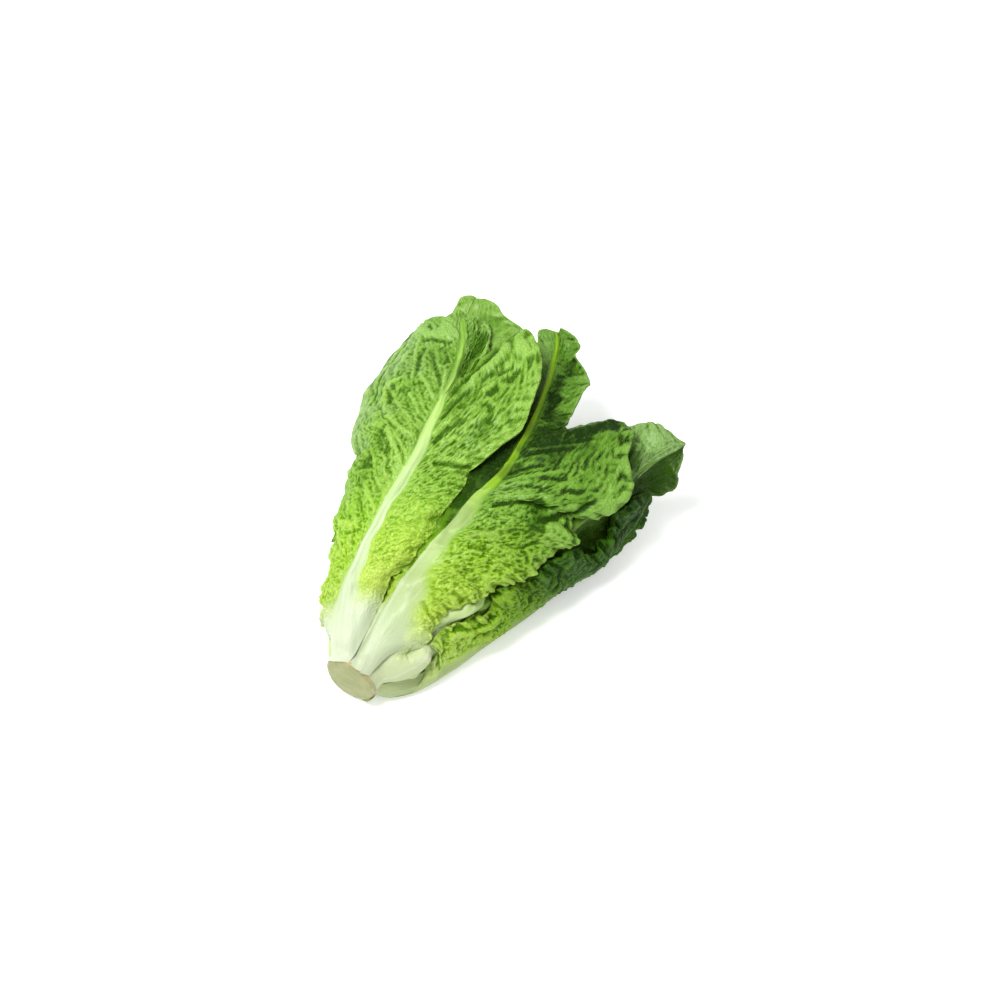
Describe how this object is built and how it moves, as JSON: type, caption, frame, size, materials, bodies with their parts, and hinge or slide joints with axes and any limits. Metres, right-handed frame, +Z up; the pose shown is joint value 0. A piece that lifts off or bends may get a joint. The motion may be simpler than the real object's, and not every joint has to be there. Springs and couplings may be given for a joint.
{
  "type": "romaine lettuce head",
  "caption": "Whole head of romaine lettuce lying on its side, with a cut stem, broad midribs and overlapping ruffled leaves.",
  "frame": {"origin": "middle of the bounding box's base, on the table under the head", "axes": "+Y along the head from its cut stem to its leaf tips, +Z up from the table, +X to the right when seen from the stem end"},
  "size_m": [0.2236, 0.2824, 0.1039],
  "materials": {
    "stem": "matte",
    "leaf_outer": "satin",
    "leaf_dark": "satin",
    "leaf_pale": "satin",
    "leaf_heart": "satin"
  },
  "bodies": {
    "root": {"stem": "stem", "leaf_upper_left": "leaf_outer", "leaf_upper_middle": "leaf_outer", "leaf_lower_right": "leaf_dark", "leaf_underside": "leaf_dark", "leaf_lower_left": "leaf_outer", "leaf_right": "leaf_outer", "leaf_back_left": "leaf_pale", "leaf_left": "leaf_pale", "leaf_inner_right": "leaf_pale", "leaf_inner_under": "leaf_heart", "leaf_inner_top": "leaf_heart", "leaf_inner_left": "leaf_heart", "leaf_inner_middle": "leaf_heart", "leaf_heart_top": "leaf_heart", "leaf_heart_under": "leaf_heart"}
  },
  "joints": []
}
